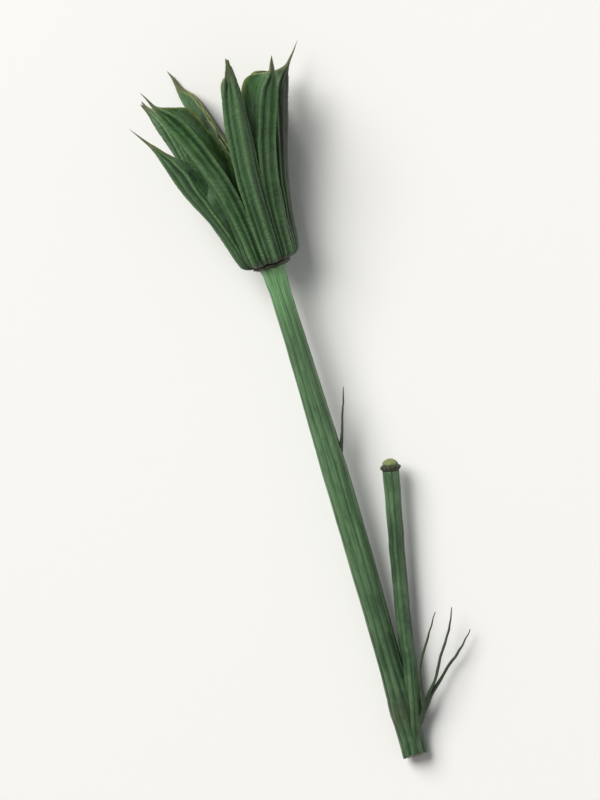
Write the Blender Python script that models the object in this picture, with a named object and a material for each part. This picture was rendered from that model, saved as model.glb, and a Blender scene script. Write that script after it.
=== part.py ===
"""A dried nigella seed pod on its cut stem, lying on a level surface.

Row frame: metres, +Z up, z = 0 is the surface it lies on. The stem runs from its cut end at -X
to the pod at +X, and the mouth of the pod looks along +X. The origin is the middle of the
footprint of the whole thing, on the surface.

Pod frame, in which the shapes are worked out, in millimetres: z along the pod's axis from the
stem to the mouth, z = 0 where the follicles sit on the receptacle. An azimuth of 0 faces up and
away from the surface, and 90 faces -Y.
"""

import math

import bmesh
import bpy
import numpy as np
from mathutils import Matrix, Vector

# Driving dimensions, in millimetres and degrees.
FOLLICLES = 8
WALL = 0.42  # thickness of a follicle's wall
JOIN_GAP = 0.15  # from a follicle's flank to the plane between it and its neighbour
STEM_TOP = -2.25  # height of the stem's upper end, just under the receptacle
STEM_CUT = -83.0  # height of its cut lower end, just under the node that bears the lower leaf
STEM_RIBS = 9
RIB_HEIGHT = 0.13
FRONT = 13.0  # azimuth that the pod's fullest side faces

# How the finished shape lies: turned about the pod's axis, raised at the mouth, then set down.
ROLL = -0.451
PITCH = 4.460
YAW = 0.0
SET_DOWN = (24.408, 0.176, 8.473)

# Outline of one follicle in the plane through the pod's axis: a share of the way from its foot to
# the tip of its beak, the distance from the axis, and the height.
BACK = (
    (0.00, 2.15, -0.26),
    (0.03, 2.90, -0.58),
    (0.06, 3.75, -0.50),
    (0.10, 4.60, 0.15),
    (0.15, 5.00, 1.50),
    (0.23, 5.25, 4.00),
    (0.33, 5.75, 7.40),
    (0.44, 6.60, 11.20),
    (0.55, 7.75, 15.20),
    (0.66, 9.15, 19.20),
    (0.77, 10.60, 23.00),
    (0.85, 11.65, 25.80),
    (0.885, 12.10, 27.10),
    (0.91, 12.45, 28.00),
    (0.935, 12.85, 29.00),
    (0.96, 13.35, 30.20),
    (1.00, 14.30, 32.30),
)
SEAM = (
    (0.00, 1.70, 0.12),
    (0.03, 1.70, 0.40),
    (0.06, 1.70, 0.90),
    (0.10, 1.70, 1.70),
    (0.15, 1.70, 2.90),
    (0.23, 1.70, 5.30),
    (0.33, 1.70, 8.30),
    (0.44, 1.75, 11.70),
    (0.55, 2.00, 15.30),
    (0.66, 3.10, 19.20),
    (0.77, 4.80, 23.00),
    (0.82, 5.80, 25.00),
    (0.85, 6.90, 26.60),
    (0.875, 8.30, 27.70),
    (0.895, 9.80, 28.30),
    (0.91, 10.90, 28.70),
    (0.935, 12.15, 29.50),
    (0.96, 12.95, 30.52),
    (1.00, 14.15, 32.42),
)
# Half of the width at the side nerves, the depth of the side nerves behind the keel, half of the
# width of the keel, and half of the gap between the two lips of the seam.
HALF_WIDTH = (
    (0.00, 0.62),
    (0.03, 0.95),
    (0.06, 1.20),
    (0.10, 1.42),
    (0.15, 1.52),
    (0.33, 1.66),
    (0.55, 1.80),
    (0.77, 1.72),
    (0.85, 1.45),
    (0.885, 1.10),
    (0.91, 0.78),
    (0.935, 0.50),
    (0.96, 0.36),
    (1.00, 0.17),
)
NERVE_DEPTH = (
    (0.00, 0.25),
    (0.06, 0.50),
    (0.15, 0.80),
    (0.33, 1.05),
    (0.55, 1.55),
    (0.77, 2.00),
    (0.85, 1.70),
    (0.91, 0.75),
    (0.935, 0.42),
    (0.96, 0.26),
    (1.00, 0.08),
)
KEEL = (
    (0.00, 0.28),
    (0.06, 0.50),
    (0.33, 0.58),
    (0.77, 0.55),
    (0.91, 0.34),
    (0.96, 0.20),
    (1.00, 0.09),
)
LIP_GAP = (
    (0.00, 0.08),
    (0.50, 0.10),
    (0.62, 0.16),
    (0.77, 0.42),
    (0.85, 0.60),
    (0.89, 0.48),
    (0.92, 0.16),
    (0.94, 0.08),
    (1.00, 0.03),
)

# Each follicle: azimuth, how far its top swings round and twists, the share of the usual height that
# its blade reaches, how far it bulges out below the middle, how far its lips stand open, how far its beak
# bends outwards and sideways and how much longer it is, in millimetres, and the share of its length
# left where the beak is broken off.
SHAPES = {
    "follicle_1": dict(az=-67.5, swing=0.0, twist=8.0, long=0.77, belly=1.3, open=0.8, out=0.4, side=-0.1, tip=2.2, end=1.0),
    "follicle_2": dict(az=-22.5, swing=-12.0, twist=-11.0, long=1.00, belly=0.0, open=0.85, out=0.0, side=-0.3, tip=0.4, end=1.0),
    "follicle_3": dict(az=22.5, swing=6.0, twist=4.0, long=1.05, belly=0.0, open=0.4, out=0.0, side=0.5, tip=0.0, end=1.0),
    "follicle_4": dict(az=61.0, swing=2.0, twist=6.0, long=0.99, belly=0.0, open=1.1, out=0.0, side=-1.0, tip=0.0, end=1.0),
    "follicle_5": dict(az=112.5, swing=0.0, twist=-6.0, long=0.97, belly=0.2, open=0.9, out=0.9, side=0.4, tip=0.6, end=1.0),
    "follicle_6": dict(az=152.5, swing=-4.0, twist=5.0, long=0.90, belly=0.5, open=1.2, out=-2.5, side=-0.4, tip=0.0, end=0.95),
    "follicle_7": dict(az=202.5, swing=9.0, twist=-7.0, long=1.03, belly=0.0, open=0.8, out=-0.8, side=0.7, tip=0.0, end=1.0),
    "follicle_8": dict(az=249.0, swing=6.0, twist=9.0, long=0.98, belly=0.9, open=0.8, out=0.3, side=0.2, tip=0.0, end=0.955),
}

# Radius of the stem at heights in the pod frame.
STEM_RADIUS = (
    (-83.0, 2.00),
    (-79.5, 2.02),
    (-75.0, 2.30),
    (-71.5, 2.05),
    (-67.0, 1.88),
    (-60.0, 1.92),
    (-48.0, 2.03),
    (-38.0, 2.03),
    (-22.0, 1.82),
    (-9.0, 1.64),
    (-5.0, 1.66),
    (-3.2, 1.84),
    (-2.2, 2.02),
)

# The bare side stalk, which has lost its own pod, and the leaf remains. Each point is a height, a
# distance to the side and a distance to the front, from the pod's axis, and a radius.
SIDE_STALK = (
    (-70.8, -0.02, 0.0, 0.40),
    (-69.2, 0.02, 0.0, 0.62),
    (-67.0, 0.26, 0.0, 0.94),
    (-64.5, 0.76, 0.0, 1.18),
    (-61.0, 1.55, 0.0, 1.22),
    (-55.0, 2.98, 0.0, 1.24),
    (-48.0, 4.75, 0.0, 1.27),
    (-42.0, 6.25, 0.0, 1.30),
    (-38.4, 7.15, 0.0, 1.36),
)
SIDE_KNOB = ((0.0, 1.12), (0.22, 1.30), (0.42, 1.50), (0.70, 1.52), (0.92, 1.34), (1.30, 1.12), (1.68, 0.72), (1.86, 0.30))
UPPER_LEAF = ((-30.9, 1.55, 0.0, 0.32), (-28.8, 2.25, 0.0, 0.31), (-26.4, 3.25, 0.1, 0.27), (-24.6, 3.95, 0.2, 0.21), (-23.0, 4.5, 0.3, 0.14))
LOWER_LEAF = (
    ((-77.3, -0.35, 0.2, 0.50), (-75.9, 0.30, 0.3, 0.64), (-74.6, 1.25, 0.5, 0.58), (-73.5, 2.35, 0.6, 0.42), (-71.3, 5.30, 0.8, 0.33), (-68.9, 8.10, 1.0, 0.28), (-66.1, 10.9, 1.3, 0.14)),
    ((-75.4, 0.75, 0.4, 0.36), (-73.6, 1.65, 1.3, 0.38), (-70.9, 3.75, 1.8, 0.33), (-67.8, 5.65, 2.0, 0.29), (-64.6, 7.90, 2.1, 0.24), (-61.6, 9.40, 2.2, 0.14)),
    ((-75.6, 0.35, 0.5, 0.34), (-73.6, 0.45, 1.7, 0.36), (-71.4, 0.70, 2.4, 0.32), (-68.6, 1.90, 2.6, 0.29), (-65.2, 4.20, 2.6, 0.25), (-61.6, 6.60, 2.6, 0.14)),
)


def smooth(rows, x):
    """Values at x on a smooth curve through the rows of a table, whose first column rises."""
    rows = np.array(rows, float)
    k, v = rows[:, 0], rows[:, 1:]
    slope = (v[1:] - v[:-1]) / (k[1:] - k[:-1])[:, None]
    m = np.vstack([slope[:1], (slope[1:] + slope[:-1]) / 2, slope[-1:]])
    turn = slope[1:] * slope[:-1] <= 0  # no overshoot where a column turns back
    m[1:-1][turn] = 0.0
    x = np.clip(np.atleast_1d(np.asarray(x, float)), k[0], k[-1])
    i = np.clip(np.searchsorted(k, x, side="right") - 1, 0, len(k) - 2)
    h = (k[i + 1] - k[i])[:, None]
    t = ((x - k[i])[:, None]) / h
    out = (
        (2 * t**3 - 3 * t**2 + 1) * v[i]
        + (t**3 - 2 * t**2 + t) * h * m[i]
        + (-2 * t**3 + 3 * t**2) * v[i + 1]
        + (t**3 - t**2) * h * m[i + 1]
    )
    return out[:, 0] if out.shape[1] == 1 else out


def ease(x, low, high):
    t = np.clip((np.asarray(x, float) - low) / (high - low), 0, 1)
    return t * t * (3 - 2 * t)


def outer_half(b, nerve, keel, depth, lip):
    """Half of the outside of a follicle's cross-section, from the keel to the lip, as points of
    (distance to the side, depth behind the keel)."""
    nerve, keel = min(nerve, 0.45 * depth), min(keel, 0.7 * b)
    middle = keel + (b - keel) * 0.5
    points = [(0.0, 0.0), (keel, 0.04 * nerve), (middle, 0.62 * nerve), (b, nerve)]
    for t in (0.3, 0.65, 1.0):
        width = lip + (b - lip) * (1 - t) ** 1.05 - 0.08 * b * math.sin(math.pi * t) ** 2
        points.append((max(width, lip), nerve + (depth - nerve) * t))
    return points


def inner_half(outer, depth, gap, wall):
    """The inside of the same half: it follows the outside at the wall's thickness, up to the lip."""
    xs, ys = zip(*outer)
    floor = min(1.15 * wall, 0.62 * depth)
    points = [(0.0, floor)]
    for t in (0.16, 0.45, 0.75, 1.0):
        y = floor + (depth - floor) * t
        x = float(np.interp(y, ys, xs))
        x = max(min(x - wall, 0.75 * x), 0.35 * x)
        if t == 1.0:
            x = min(gap, 0.55 * xs[-1])
        points.append((x, y))
    return points


def room(shape):
    """The angles from a follicle's middle to the planes between it and its two neighbours."""
    azimuths = [other["az"] for other in SHAPES.values()]
    i, n = azimuths.index(shape["az"]), FOLLICLES
    before, after = (shape["az"] - azimuths[i - 1]) % 360, (azimuths[(i + 1) % n] - shape["az"]) % 360
    return math.radians(before / 2), math.radians(after / 2)


def follicle_rings(shape, stations):
    """Closed rings of points, from the foot of a follicle to the tip of its beak, in the pod frame."""
    stations = np.where(stations > 0.9, 0.9 + (stations - 0.9) * (shape["end"] - 0.9) / 0.1, stations)
    back, seam = smooth(BACK, stations), smooth(SEAM, stations)
    widths, nerves, keels, gaps = (smooth(t, stations) for t in (HALF_WIDTH, NERVE_DEPTH, KEEL, LIP_GAP))
    sectors = room(shape)
    rings = []
    for s, d, v, b, nerve, keel, gap in zip(stations, back, seam, widths, nerves, keels, gaps):
        depth = float(np.hypot(*(v - d)))
        into = (v - d) / depth
        gap *= 1 + (shape["open"] - 1) * float(ease(s, 0.5, 0.7))
        wall = min(WALL, 0.45 * b)
        outer = outer_half(b, nerve, keel, depth, min(gap + 0.75 * wall, 0.9 * b))
        held = 1 - float(ease(s, 0.56, 0.72))  # 1 where the follicles grow together
        halves = []
        for half_angle in sectors:
            narrowed = []
            for x, y in outer:
                most = (d[0] + into[0] * y) * math.tan(half_angle) - JOIN_GAP / math.cos(half_angle)
                narrowed.append((x if most >= x else x + (max(most, 0.2) - x) * held, y))
            halves.append((narrowed, inner_half(narrowed, depth, gap, wall)))
        (left_out, left_in), (right_out, right_in) = halves
        ring = [(-x, y) for x, y in reversed(left_out)] + right_out[1:]
        ring += list(reversed(right_in)) + [(-x, y) for x, y in left_in[1:]]
        twist = math.radians(shape["twist"]) * float(ease(s, 0.5, 1.0))
        mid = 0.45 * depth
        rings.append([])
        for x, y in ring:
            across = x * math.cos(twist) - (y - mid) * math.sin(twist)
            y = mid + x * math.sin(twist) + (y - mid) * math.cos(twist)
            rings[-1].append(placed(shape, s, d[0] + into[0] * y, across, d[1] + into[1] * y))
    return rings


def placed(shape, s, rho, side, z):
    """A point of the upright follicle, after it bulges, swings round and grows to its own length."""
    beak = max(0.0, (s - 0.9) / 0.1) ** 1.5
    rho, side = rho + (shape["out"] + 0.5 * shape["tip"]) * beak, side + shape["side"] * beak
    rho += shape["belly"] * math.sin(math.pi * min(max((z - 1) / 24, 0.0), 1.3))
    swing = 0.0
    if z > 2:
        swing = shape["swing"] * 1.15 * float(ease(z, 9, 32))
        z = 2 + (z - 2) * (1 + (shape["long"] - 1) * float(ease(z, 2, 20))) + shape["tip"] * beak
    a = math.radians(shape["az"] + swing)
    return (rho * math.cos(a) - side * math.sin(a), rho * math.sin(a) + side * math.cos(a), z)


def stem_axis(z):
    """Centre of the stem at height z: it leaves the pod a little askew and bows slightly."""
    z = np.asarray(z, float)
    t = np.clip(-z / 80.0, 0, 1.1)
    return np.stack([0.4 * np.sin(math.pi * t), -1.65 * t - 2.05 * t**2, z], -1)


def beside(z, side, front):
    """A point at height z, so far to the side and to the front of the pod's axis."""
    f, s = math.radians(FRONT), math.radians(FRONT + 90)
    return (side * math.cos(s) + front * math.cos(f), side * math.sin(s) + front * math.sin(f), z)


def to_row_matrix():
    """From the pod frame in millimetres to the row frame in metres."""
    turn = Matrix(((0, 0, 1), (0, -1, 0), (1, 0, 0))).to_4x4()
    return (
        Matrix.Translation(Vector(SET_DOWN) * 0.001)
        @ Matrix.Rotation(math.radians(YAW), 4, "Z")
        @ Matrix.Rotation(-math.radians(PITCH), 4, "Y")
        @ Matrix.Rotation(math.radians(ROLL), 4, "X")
        @ turn
        @ Matrix.Scale(0.001, 4)
    )


def finish_object(name, mesh, material):
    mesh.transform(to_row_matrix())
    mesh.materials.append(material)
    obj = bpy.data.objects.new(name, mesh)
    bpy.context.scene.collection.objects.link(obj)
    return obj


def loft(rings):
    """A closed mesh through rings of points, with a flat cap at each end."""
    mesh = bpy.data.meshes.new("loft")
    n = len(rings[0])
    bm = bmesh.new()
    grid = [[bm.verts.new(p) for p in ring] for ring in rings]
    for a, b in zip(grid, grid[1:]):
        for i in range(n):
            j = (i + 1) % n
            bm.faces.new((a[i], a[j], b[j], b[i]))
    bm.faces.new(list(reversed(grid[0])))
    bm.faces.new(grid[-1])
    bmesh.ops.recalc_face_normals(bm, faces=bm.faces)
    bm.to_mesh(mesh)
    bm.free()
    mesh.shade_smooth()
    mesh.set_sharp_from_angle(angle=math.radians(45))
    return mesh


def make_material(name, colour, roughness):
    material = bpy.data.materials.new(name)
    material.use_nodes = True
    shader = material.node_tree.nodes["Principled BSDF"]
    shader.inputs["Base Color"].default_value = (*colour, 1.0)
    shader.inputs["Roughness"].default_value = roughness
    shader.inputs["Metallic"].default_value = 0.0
    return material


def make_follicle(name, shape, material):
    stations = np.array([0, 0.03, 0.06, 0.10, 0.15, 0.23, 0.33, 0.44, 0.55, 0.62, 0.69, 0.77, 0.82, 0.855, 0.88, 0.90, 0.92, 0.94, 0.965, 1.0])
    return finish_object(name, loft(follicle_rings(shape, stations)), material)


def make_stem(material):
    heights = np.concatenate([np.linspace(STEM_CUT, -79.5, 2), [-77.6, -76.2, -75.0, -73.6, -72.2], np.linspace(-70, -10, 13), [-7.5, -5.5, -4.2, -3.2, STEM_TOP]])
    centres, radii = stem_axis(heights), smooth(STEM_RADIUS, heights)
    sides = STEM_RIBS * 2
    rings = []
    for (cx, cy, z), r in zip(centres, radii):
        rings.append([])
        for k in range(sides):
            a = 2 * math.pi * k / sides
            rr = r + RIB_HEIGHT * (0.5 if k % 2 == 0 else -0.5)
            rings[-1].append((cx + rr * math.cos(a), cy + rr * math.sin(a), z))
    return finish_object("stem", loft(rings), material)


def turned(profile, steps):
    """A closed mesh turned from a profile of (height, radius), round the pod's axis."""
    bm = bmesh.new()
    verts = [bm.verts.new((r, 0, z)) for z, r in profile]
    edges = [bm.edges.new(pair) for pair in zip(verts, verts[1:])]
    bmesh.ops.spin(bm, geom=verts + edges, cent=(0, 0, 0), axis=(0, 0, 1), dvec=(0, 0, 0), angle=2 * math.pi, steps=steps, use_merge=True)
    bmesh.ops.remove_doubles(bm, verts=bm.verts, dist=1e-4)
    bmesh.ops.holes_fill(bm, edges=bm.edges)
    bmesh.ops.recalc_face_normals(bm, faces=bm.faces)
    mesh = bpy.data.meshes.new("turned")
    bm.to_mesh(mesh)
    bm.free()
    mesh.shade_smooth()
    mesh.set_sharp_from_angle(angle=math.radians(45))
    return mesh


def make_receptacle(material):
    profile = [(-1.95, 1.10), (-1.95, 1.95), (-1.62, 2.30), (-1.30, 2.38), (-1.02, 2.22), (-0.78, 1.75), (-0.42, 0.95), (-0.36, 0.45)]
    return finish_object("receptacle", turned(profile, 20), material)


def tube(path, count, sides):
    """A closed round mesh along a path of (height, side, front, radius)."""
    u = np.linspace(0, 1, count)
    rows = smooth([(t, *beside(*row[:3]), row[3]) for t, row in zip(np.linspace(0, 1, len(path)), path)], u)
    points, radii = rows[:, :3], rows[:, 3]
    along = np.gradient(points, axis=0)
    rings = []
    across = Vector((1, 0, 0))
    for point, direction, r in zip(points, along, radii):
        forward = Vector(direction).normalized()
        across = (across - forward * across.dot(forward)).normalized()
        third = forward.cross(across)
        rings.append([])
        for k in range(sides):
            a = 2 * math.pi * k / sides
            rings[-1].append(tuple(Vector(point) + across * (r * math.cos(a)) + third * (r * math.sin(a))))
    return loft(rings)


def make_side_stalk(material):
    return finish_object("side_stalk", tube(SIDE_STALK, 14, 12), material)


def make_side_knob(material):
    """The knob that the lost pod sat on, in line with the side stalk and just above its end."""
    end, before = Vector(beside(*SIDE_STALK[-1][:3])), Vector(beside(*SIDE_STALK[-2][:3]))
    forward = (end - before).normalized()
    mesh = turned(SIDE_KNOB, 14)
    mesh.transform(Matrix.Translation(end + forward * 0.3) @ forward.to_track_quat("Z", "Y").to_matrix().to_4x4())
    return finish_object("side_receptacle", mesh, material)


def make_lower_leaf(material):
    """Three threads that share a base, joined in one solid."""
    first, *others = [tube(path, 13, 8) for path in LOWER_LEAF]
    leaf = finish_object("lower_leaf", first, material)
    for k, mesh in enumerate(others):
        guide = finish_object(f"lower_leaf_guide_{k + 1}", mesh, material)
        guide.hide_render = True
        guide.display_type = "WIRE"
        union = leaf.modifiers.new(f"join_{k + 1}", "BOOLEAN")
        union.operation = "UNION"
        union.object = guide
    return leaf


def main():
    for obj in list(bpy.data.objects):
        bpy.data.objects.remove(obj)
    stem_green = make_material("stem_green", (0.045, 0.115, 0.050), 0.55)
    pod_green = make_material("pod_green", (0.030, 0.095, 0.042), 0.50)
    joint_green = make_material("receptacle_green", (0.030, 0.075, 0.030), 0.60)
    thread_green = make_material("thread_green", (0.035, 0.060, 0.028), 0.60)
    knob_green = make_material("knob_green", (0.080, 0.120, 0.035), 0.60)
    make_stem(stem_green)
    make_receptacle(joint_green)
    for name, shape in SHAPES.items():
        make_follicle(name, shape, pod_green)
    make_side_stalk(stem_green)
    make_side_knob(knob_green)
    finish_object("upper_leaf", tube(UPPER_LEAF, 9, 8), thread_green)
    make_lower_leaf(thread_green)


main()
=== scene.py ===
"""Looks of the dried, dyed nigella seed pod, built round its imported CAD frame.

Shapes are worked out in millimetres in the pod's own frame: z runs along the pod's axis from the
stem to the mouth, z = 0 is the foot of the follicles, and an azimuth of 0 faces up from the surface.
They are then laid down in the row frame, in metres, as the CAD solids are.
"""

import math

import bpy
import numpy as np
from mathutils import Matrix, Vector


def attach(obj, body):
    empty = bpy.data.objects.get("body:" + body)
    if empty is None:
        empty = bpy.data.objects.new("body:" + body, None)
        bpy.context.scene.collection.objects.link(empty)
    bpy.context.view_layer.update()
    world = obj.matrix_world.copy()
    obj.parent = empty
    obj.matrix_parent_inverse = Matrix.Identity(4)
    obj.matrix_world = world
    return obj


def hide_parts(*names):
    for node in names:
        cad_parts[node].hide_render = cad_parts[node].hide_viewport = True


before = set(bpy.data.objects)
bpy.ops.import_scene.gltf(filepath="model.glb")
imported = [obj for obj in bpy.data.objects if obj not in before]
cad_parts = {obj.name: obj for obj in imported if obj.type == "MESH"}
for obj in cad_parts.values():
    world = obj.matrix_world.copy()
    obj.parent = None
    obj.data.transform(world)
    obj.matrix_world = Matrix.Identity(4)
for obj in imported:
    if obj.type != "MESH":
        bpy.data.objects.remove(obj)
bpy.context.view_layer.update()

# ---------------------------------------------------------------------------------------------
# Dimensions shared with the CAD solids, in millimetres and degrees.
# ---------------------------------------------------------------------------------------------
ROLL = -0.451
PITCH = 4.460
SET_DOWN = (24.408, 0.176, 8.473)
FRONT = 13.0
STEM_TOP = -1.2
STEM_CUT = -83.0

BACK = (
    (0.00, 2.15, -0.26), (0.03, 2.90, -0.58), (0.06, 3.75, -0.50), (0.10, 4.60, 0.15), (0.15, 5.00, 1.50),
    (0.23, 5.25, 4.00), (0.33, 5.75, 7.40), (0.44, 6.60, 11.20), (0.55, 7.75, 15.20), (0.66, 9.15, 19.20),
    (0.77, 10.60, 23.00), (0.85, 11.65, 25.80), (0.885, 12.10, 27.10), (0.91, 12.45, 28.00),
    (0.935, 12.85, 29.00), (0.96, 13.35, 30.20), (1.00, 14.30, 32.30),
)
SEAM = (
    (0.00, 0.70, 0.12), (0.03, 0.45, 0.40), (0.06, 0.32, 0.90), (0.10, 0.30, 1.70), (0.15, 0.30, 2.90),
    (0.23, 0.30, 5.30), (0.33, 0.30, 8.30), (0.44, 0.34, 11.70), (0.50, 0.62, 13.60), (0.55, 1.15, 15.30),
    (0.60, 1.90, 17.10), (0.66, 3.00, 19.20), (0.77, 4.80, 23.00), (0.82, 5.80, 25.00), (0.85, 6.90, 26.60),
    (0.875, 8.30, 27.70), (0.895, 9.90, 28.30), (0.91, 11.10, 28.68), (0.935, 12.36, 29.34),
    (0.96, 13.10, 30.38), (1.00, 14.24, 32.36),
)
HALF_WIDTH = (
    (0.00, 0.62), (0.03, 0.98), (0.06, 1.28), (0.10, 1.50), (0.15, 1.62), (0.33, 1.78), (0.55, 1.86),
    (0.77, 1.74), (0.85, 1.45), (0.885, 1.06), (0.91, 0.68), (0.935, 0.36), (0.96, 0.20), (1.00, 0.05),
)
NERVE_DEPTH = (
    (0.00, 0.25), (0.06, 0.50), (0.15, 0.80), (0.33, 1.05), (0.55, 1.55), (0.77, 2.00), (0.85, 1.70),
    (0.91, 0.66), (0.935, 0.30), (0.96, 0.15), (1.00, 0.04),
)
KEEL = (
    (0.00, 0.28), (0.06, 0.50), (0.33, 0.58), (0.77, 0.55), (0.91, 0.32), (0.96, 0.16), (1.00, 0.06),
)
LIP_GAP = (
    (0.00, 0.02), (0.44, 0.03), (0.54, 0.08), (0.62, 0.16), (0.77, 0.42), (0.85, 0.60), (0.89, 0.46),
    (0.92, 0.12), (0.94, 0.05), (1.00, 0.02),
)

# Azimuth, swing and twist of the top, length, belly, how open the lips are, how the beak bends and how
# much longer it is, and the share left where it is broken off, as in the CAD solids. Then how far its
# rim rises, how blunt its beak is, the pale bloom and painted sheen on it, the brown in it (painted shade
# on follicle_5's back) and how deep its papery walls have buckled.
SHAPES = {
    "follicle_1": dict(az=-67.5, swing=0.0, twist=8.0, long=0.77, belly=1.3, open=0.6, out=0.4, side=-0.1, tip=1.7, end=1.0, rim=-2.7, blunt=0.0, bloom_and_sheen=0.95, brown_and_shade=0.08, buckle=0.9),
    "follicle_2": dict(az=-22.5, swing=-12.0, twist=-11.0, long=1.00, belly=0.0, open=0.85, out=0.0, side=-0.3, tip=-0.1, end=1.0, rim=0.0, blunt=0.0, bloom_and_sheen=0.50, brown_and_shade=0.10, buckle=1.0),
    "follicle_3": dict(az=22.5, swing=6.0, twist=4.0, long=1.05, belly=0.0, open=0.3, out=0.0, side=0.10, tip=-0.1, end=0.972, rim=0.4, blunt=0.8, bloom_and_sheen=0.95, brown_and_shade=0.08, buckle=0.8),
    "follicle_4": dict(az=61.0, swing=6.0, twist=14.0, long=0.99, belly=0.0, open=1.0, out=0.0, side=-1.0, tip=-1.0, end=1.0, rim=1.7, blunt=0.45, bloom_and_sheen=0.50, brown_and_shade=0.05, buckle=1.0),
    # follicle_5's high brown_and_shade paints the shade on its back.
    "follicle_5": dict(az=112.5, swing=0.0, twist=-6.0, long=0.97, belly=0.2, open=0.9, out=1.6, side=0.4, tip=0.1, end=1.0, rim=0.9, blunt=0.0, bloom_and_sheen=0.25, brown_and_shade=0.40, buckle=0.9),
    "follicle_6": dict(az=152.5, swing=-4.0, twist=5.0, long=0.90, belly=0.5, open=1.2, out=-2.5, side=-0.4, tip=0.0, end=0.95, rim=0.0, blunt=0.2, bloom_and_sheen=0.40, brown_and_shade=0.30, buckle=1.2),
    "follicle_7": dict(az=202.5, swing=12.0, twist=-7.0, long=1.03, belly=0.0, open=0.04, out=-0.8, side=0.35, tip=0.0, end=1.0, rim=0.0, blunt=0.3, bloom_and_sheen=0.50, brown_and_shade=0.10, buckle=1.0),
    "follicle_8": dict(az=249.0, swing=6.0, twist=9.0, long=0.98, belly=0.9, open=0.7, out=0.5, side=0.2, tip=0.0, end=0.955, rim=0.0, blunt=0.3, bloom_and_sheen=0.60, brown_and_shade=0.25, buckle=1.1),
}

STEM_RADIUS = (
    (-83.0, 2.00), (-79.5, 2.02), (-77.0, 2.08), (-75.0, 2.20), (-73.2, 2.15), (-71.5, 2.04), (-67.0, 1.88),
    (-60.0, 1.92), (-48.0, 2.03), (-38.0, 2.03), (-22.0, 1.82), (-9.0, 1.64), (-5.0, 1.66), (-3.2, 1.84),
    (-2.2, 1.90), (-1.6, 2.08), (-1.2, 2.28),
)
SIDE_STALK = (
    (-80.5, -3.00, 0.0, 0.90), (-78.6, -2.62, 0.0, 1.18), (-76.4, -2.02, 0.0, 1.34), (-74.0, -1.36, 0.0, 1.36), (-71.6, -0.72, 0.0, 1.30),
    (-69.4, -0.15, 0.0, 1.24), (-67.0, 0.36, 0.0, 1.20),
    (-64.5, 0.80, 0.0, 1.22), (-61.0, 1.55, 0.0, 1.22), (-55.0, 2.98, 0.0, 1.24), (-48.0, 4.75, 0.0, 1.27),
    (-42.0, 6.25, 0.0, 1.30), (-38.2, 7.20, 0.0, 1.36),
)
UPPER_LEAF = (
    (-33.4, 0.50, 0.0, 0.34), (-32.4, 0.85, 0.0, 0.44), (-31.4, 1.22, 0.0, 0.42), (-30.4, 1.62, 0.0, 0.34), (-28.8, 2.25, 0.0, 0.27),
    (-26.4, 3.25, 0.1, 0.22), (-24.6, 3.95, 0.2, 0.16), (-23.0, 4.5, 0.3, 0.06),
)
LOWER_LEAF = (
    ((-79.8, -2.45, 0.0, 0.30), (-78.5, -1.80, 0.1, 0.56), (-77.2, -1.00, 0.2, 0.72), (-75.9, -0.05, 0.3, 0.72), (-74.6, 1.15, 0.5, 0.56), (-73.5, 2.35, 0.6, 0.45), (-71.3, 5.30, 0.8, 0.33), (-68.9, 8.10, 1.0, 0.27), (-66.1, 10.9, 1.3, 0.08)),
    ((-76.6, -0.60, 0.3, 0.46), (-75.3, 0.55, 0.7, 0.44), (-73.6, 1.65, 1.3, 0.38), (-70.9, 3.75, 1.8, 0.33), (-67.8, 5.65, 2.0, 0.29), (-64.6, 7.90, 2.1, 0.23), (-61.6, 9.40, 2.2, 0.08)),
    ((-76.9, -0.70, 0.4, 0.46), (-75.2, 0.15, 1.1, 0.42), (-73.6, 0.45, 1.7, 0.37), (-71.4, 0.70, 2.4, 0.32), (-68.6, 1.90, 2.6, 0.29), (-65.2, 4.20, 2.6, 0.24), (-61.6, 6.60, 2.6, 0.08)),
)


# ---------------------------------------------------------------------------------------------
# Curves and noise.
# ---------------------------------------------------------------------------------------------
def smooth(rows, x):
    """Values at x on a smooth curve through the rows of a table, whose first column rises."""
    rows = np.array(rows, float)
    k, v = rows[:, 0], rows[:, 1:]
    slope = (v[1:] - v[:-1]) / (k[1:] - k[:-1])[:, None]
    m = np.vstack([slope[:1], (slope[1:] + slope[:-1]) / 2, slope[-1:]])
    turn = slope[1:] * slope[:-1] <= 0
    m[1:-1][turn] = 0.0
    x = np.clip(np.atleast_1d(np.asarray(x, float)), k[0], k[-1])
    i = np.clip(np.searchsorted(k, x, side="right") - 1, 0, len(k) - 2)
    h = (k[i + 1] - k[i])[:, None]
    t = ((x - k[i])[:, None]) / h
    out = (
        (2 * t**3 - 3 * t**2 + 1) * v[i]
        + (t**3 - 2 * t**2 + t) * h * m[i]
        + (-2 * t**3 + 3 * t**2) * v[i + 1]
        + (t**3 - t**2) * h * m[i + 1]
    )
    return out[:, 0] if out.shape[1] == 1 else out


def xyz(*parts):
    """Arrays that may differ in shape, as one array of points."""
    return np.stack(np.broadcast_arrays(*parts), -1)


def ease(x, low, high):
    t = np.clip((np.asarray(x, float) - low) / (high - low), 0, 1)
    return t * t * (3 - 2 * t)


def lattice(i, j, k, seed):
    """A number from -1 to 1 for each point of a grid, the same one each run."""
    h = i * 374761393 + j * 668265263 + k * 2147483647 + seed * 144665
    h = (h ^ (h >> 13)) * 1274126177
    h = h ^ (h >> 16)
    return (h & 0xFFFFF) / float(0x7FFFF) - 1.0


def noise(x, y, z, seed=0):
    """Smooth noise from -1 to 1."""
    x, y, z = np.broadcast_arrays(np.asarray(x, float), np.asarray(y, float), np.asarray(z, float))
    i, j, k = (np.floor(v).astype(np.int64) for v in (x, y, z))
    u, v, w = (t * t * (3 - 2 * t) for t in (x - i, y - j, z - k))
    total = 0.0
    for di in (0, 1):
        for dj in (0, 1):
            for dk in (0, 1):
                share = (u if di else 1 - u) * (v if dj else 1 - v) * (w if dk else 1 - w)
                total = total + share * lattice(i + di, j + dj, k + dk, seed)
    return total


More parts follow.
